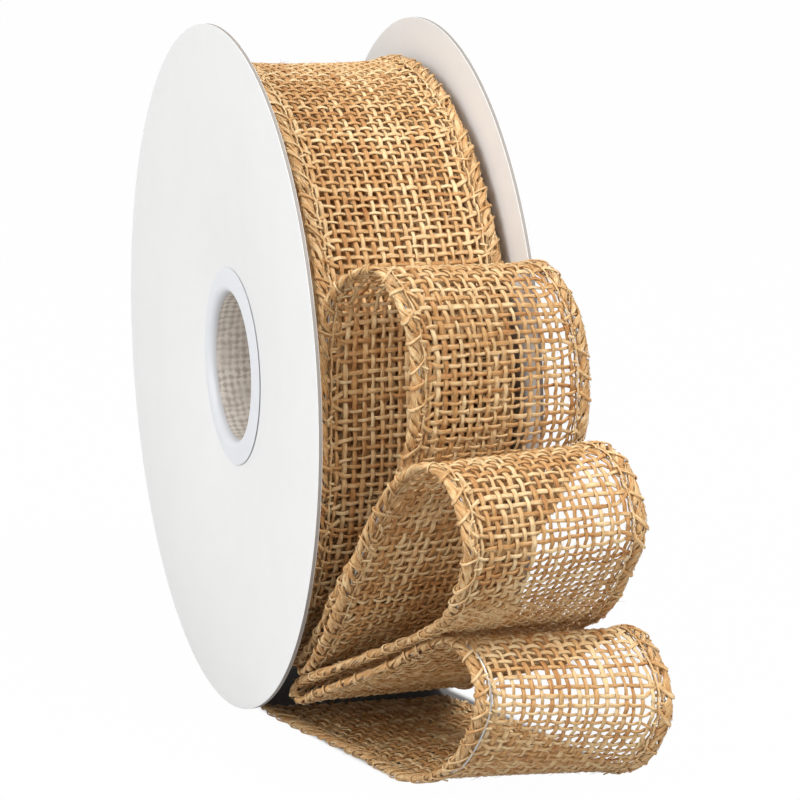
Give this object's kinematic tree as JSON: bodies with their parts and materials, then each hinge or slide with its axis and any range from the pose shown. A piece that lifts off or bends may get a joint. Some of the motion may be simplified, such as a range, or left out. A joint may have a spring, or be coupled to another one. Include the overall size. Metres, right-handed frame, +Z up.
{
  "type": "ribbon spool",
  "caption": "Spool of wire-edged woven jute ribbon on card discs with a plastic hub, standing on its rims, its free end drawn out and folded into standing loops.",
  "frame": {"origin": "bottom centre of the part's box, on the surface the spool stands on", "axes": "+Z up, the axle along Y with the front disc at -Y, the free end drawn out towards +X"},
  "size_m": [0.1688, 0.0612, 0.1379],
  "materials": {
    "card": "matt coated card",
    "hub_plastic": "satin",
    "tape": "clear",
    "jute": "open plain weave",
    "binding": "overlocked",
    "wire": "bright drawn wire"
  },
  "bodies": {
    "tail": {"ribbon_tail": "jute", "tail_edge_front": "binding", "tail_edge_rear": "binding", "tail_wire_front": "wire", "tail_wire_rear": "wire"},
    "spool": {"front_disc": "card", "rear_disc": "card", "front_hub": "hub_plastic", "rear_hub": "hub_plastic", "core_tape": "tape", "wound_ribbon": "jute", "outer_turn": "jute", "turn_edge_front": "binding", "turn_edge_rear": "binding"}
  },
  "joints": [
    {"name": "spool_turn", "type": "hinge", "parent": "tail", "child": "spool", "pos_m": [-0.01544, -0.00882, 0.06898], "axis": [0, -1, 0], "continuous": true}
  ]
}
